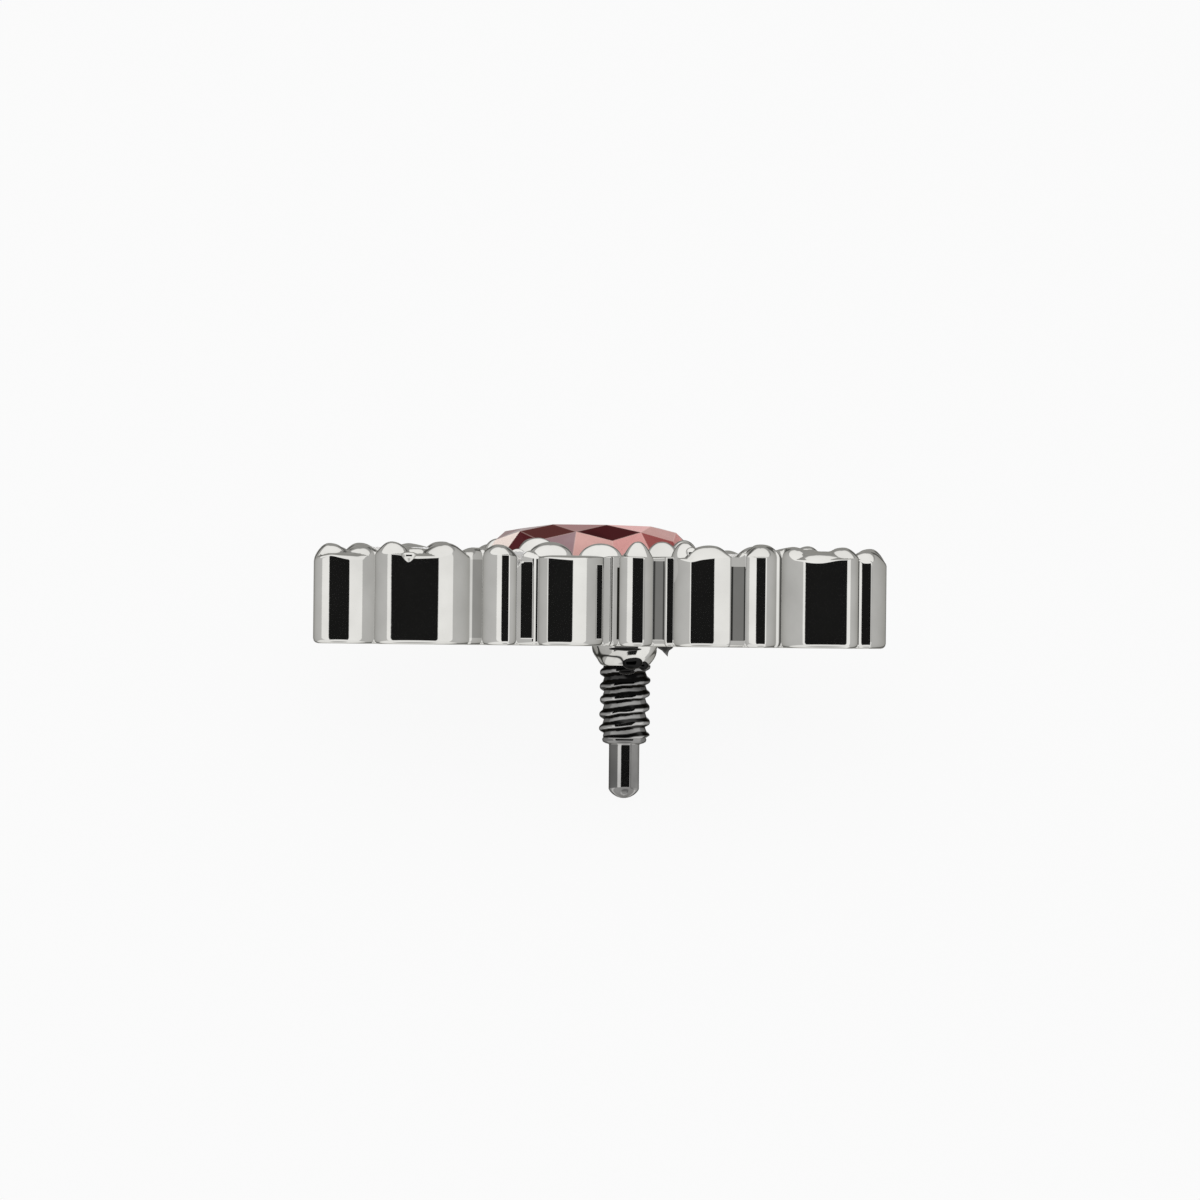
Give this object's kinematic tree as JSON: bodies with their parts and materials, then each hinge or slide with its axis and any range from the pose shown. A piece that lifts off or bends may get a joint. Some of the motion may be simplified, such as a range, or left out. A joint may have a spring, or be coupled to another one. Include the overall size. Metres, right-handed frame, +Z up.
{
  "type": "threaded piercing top",
  "caption": "Scalloped oval jewelled top with a raised red centre stone, clear side stones and a threaded post with a guide tip that screws into a hollow piercing post.",
  "frame": {"origin": "On the surface that the top rests on, below the middle of its resting box", "axes": "+X along the length of the oval, +Z up as the top rests on the end of its post and the back edge of its wall, with the raised front of the wall towards -Y"},
  "size_m": [0.0106, 0.006, 0.0052],
  "materials": {
    "polished_steel": "polished",
    "red_stone": "polished",
    "clear_stone": "polished"
  },
  "bodies": {
    "root": {"setting": "polished_steel", "centre_stone": "red_stone", "end_stone_left": "clear_stone", "end_stone_right": "clear_stone", "accent_stone_1": "clear_stone", "accent_stone_2": "clear_stone", "accent_stone_3": "clear_stone", "accent_stone_4": "clear_stone"}
  },
  "joints": []
}
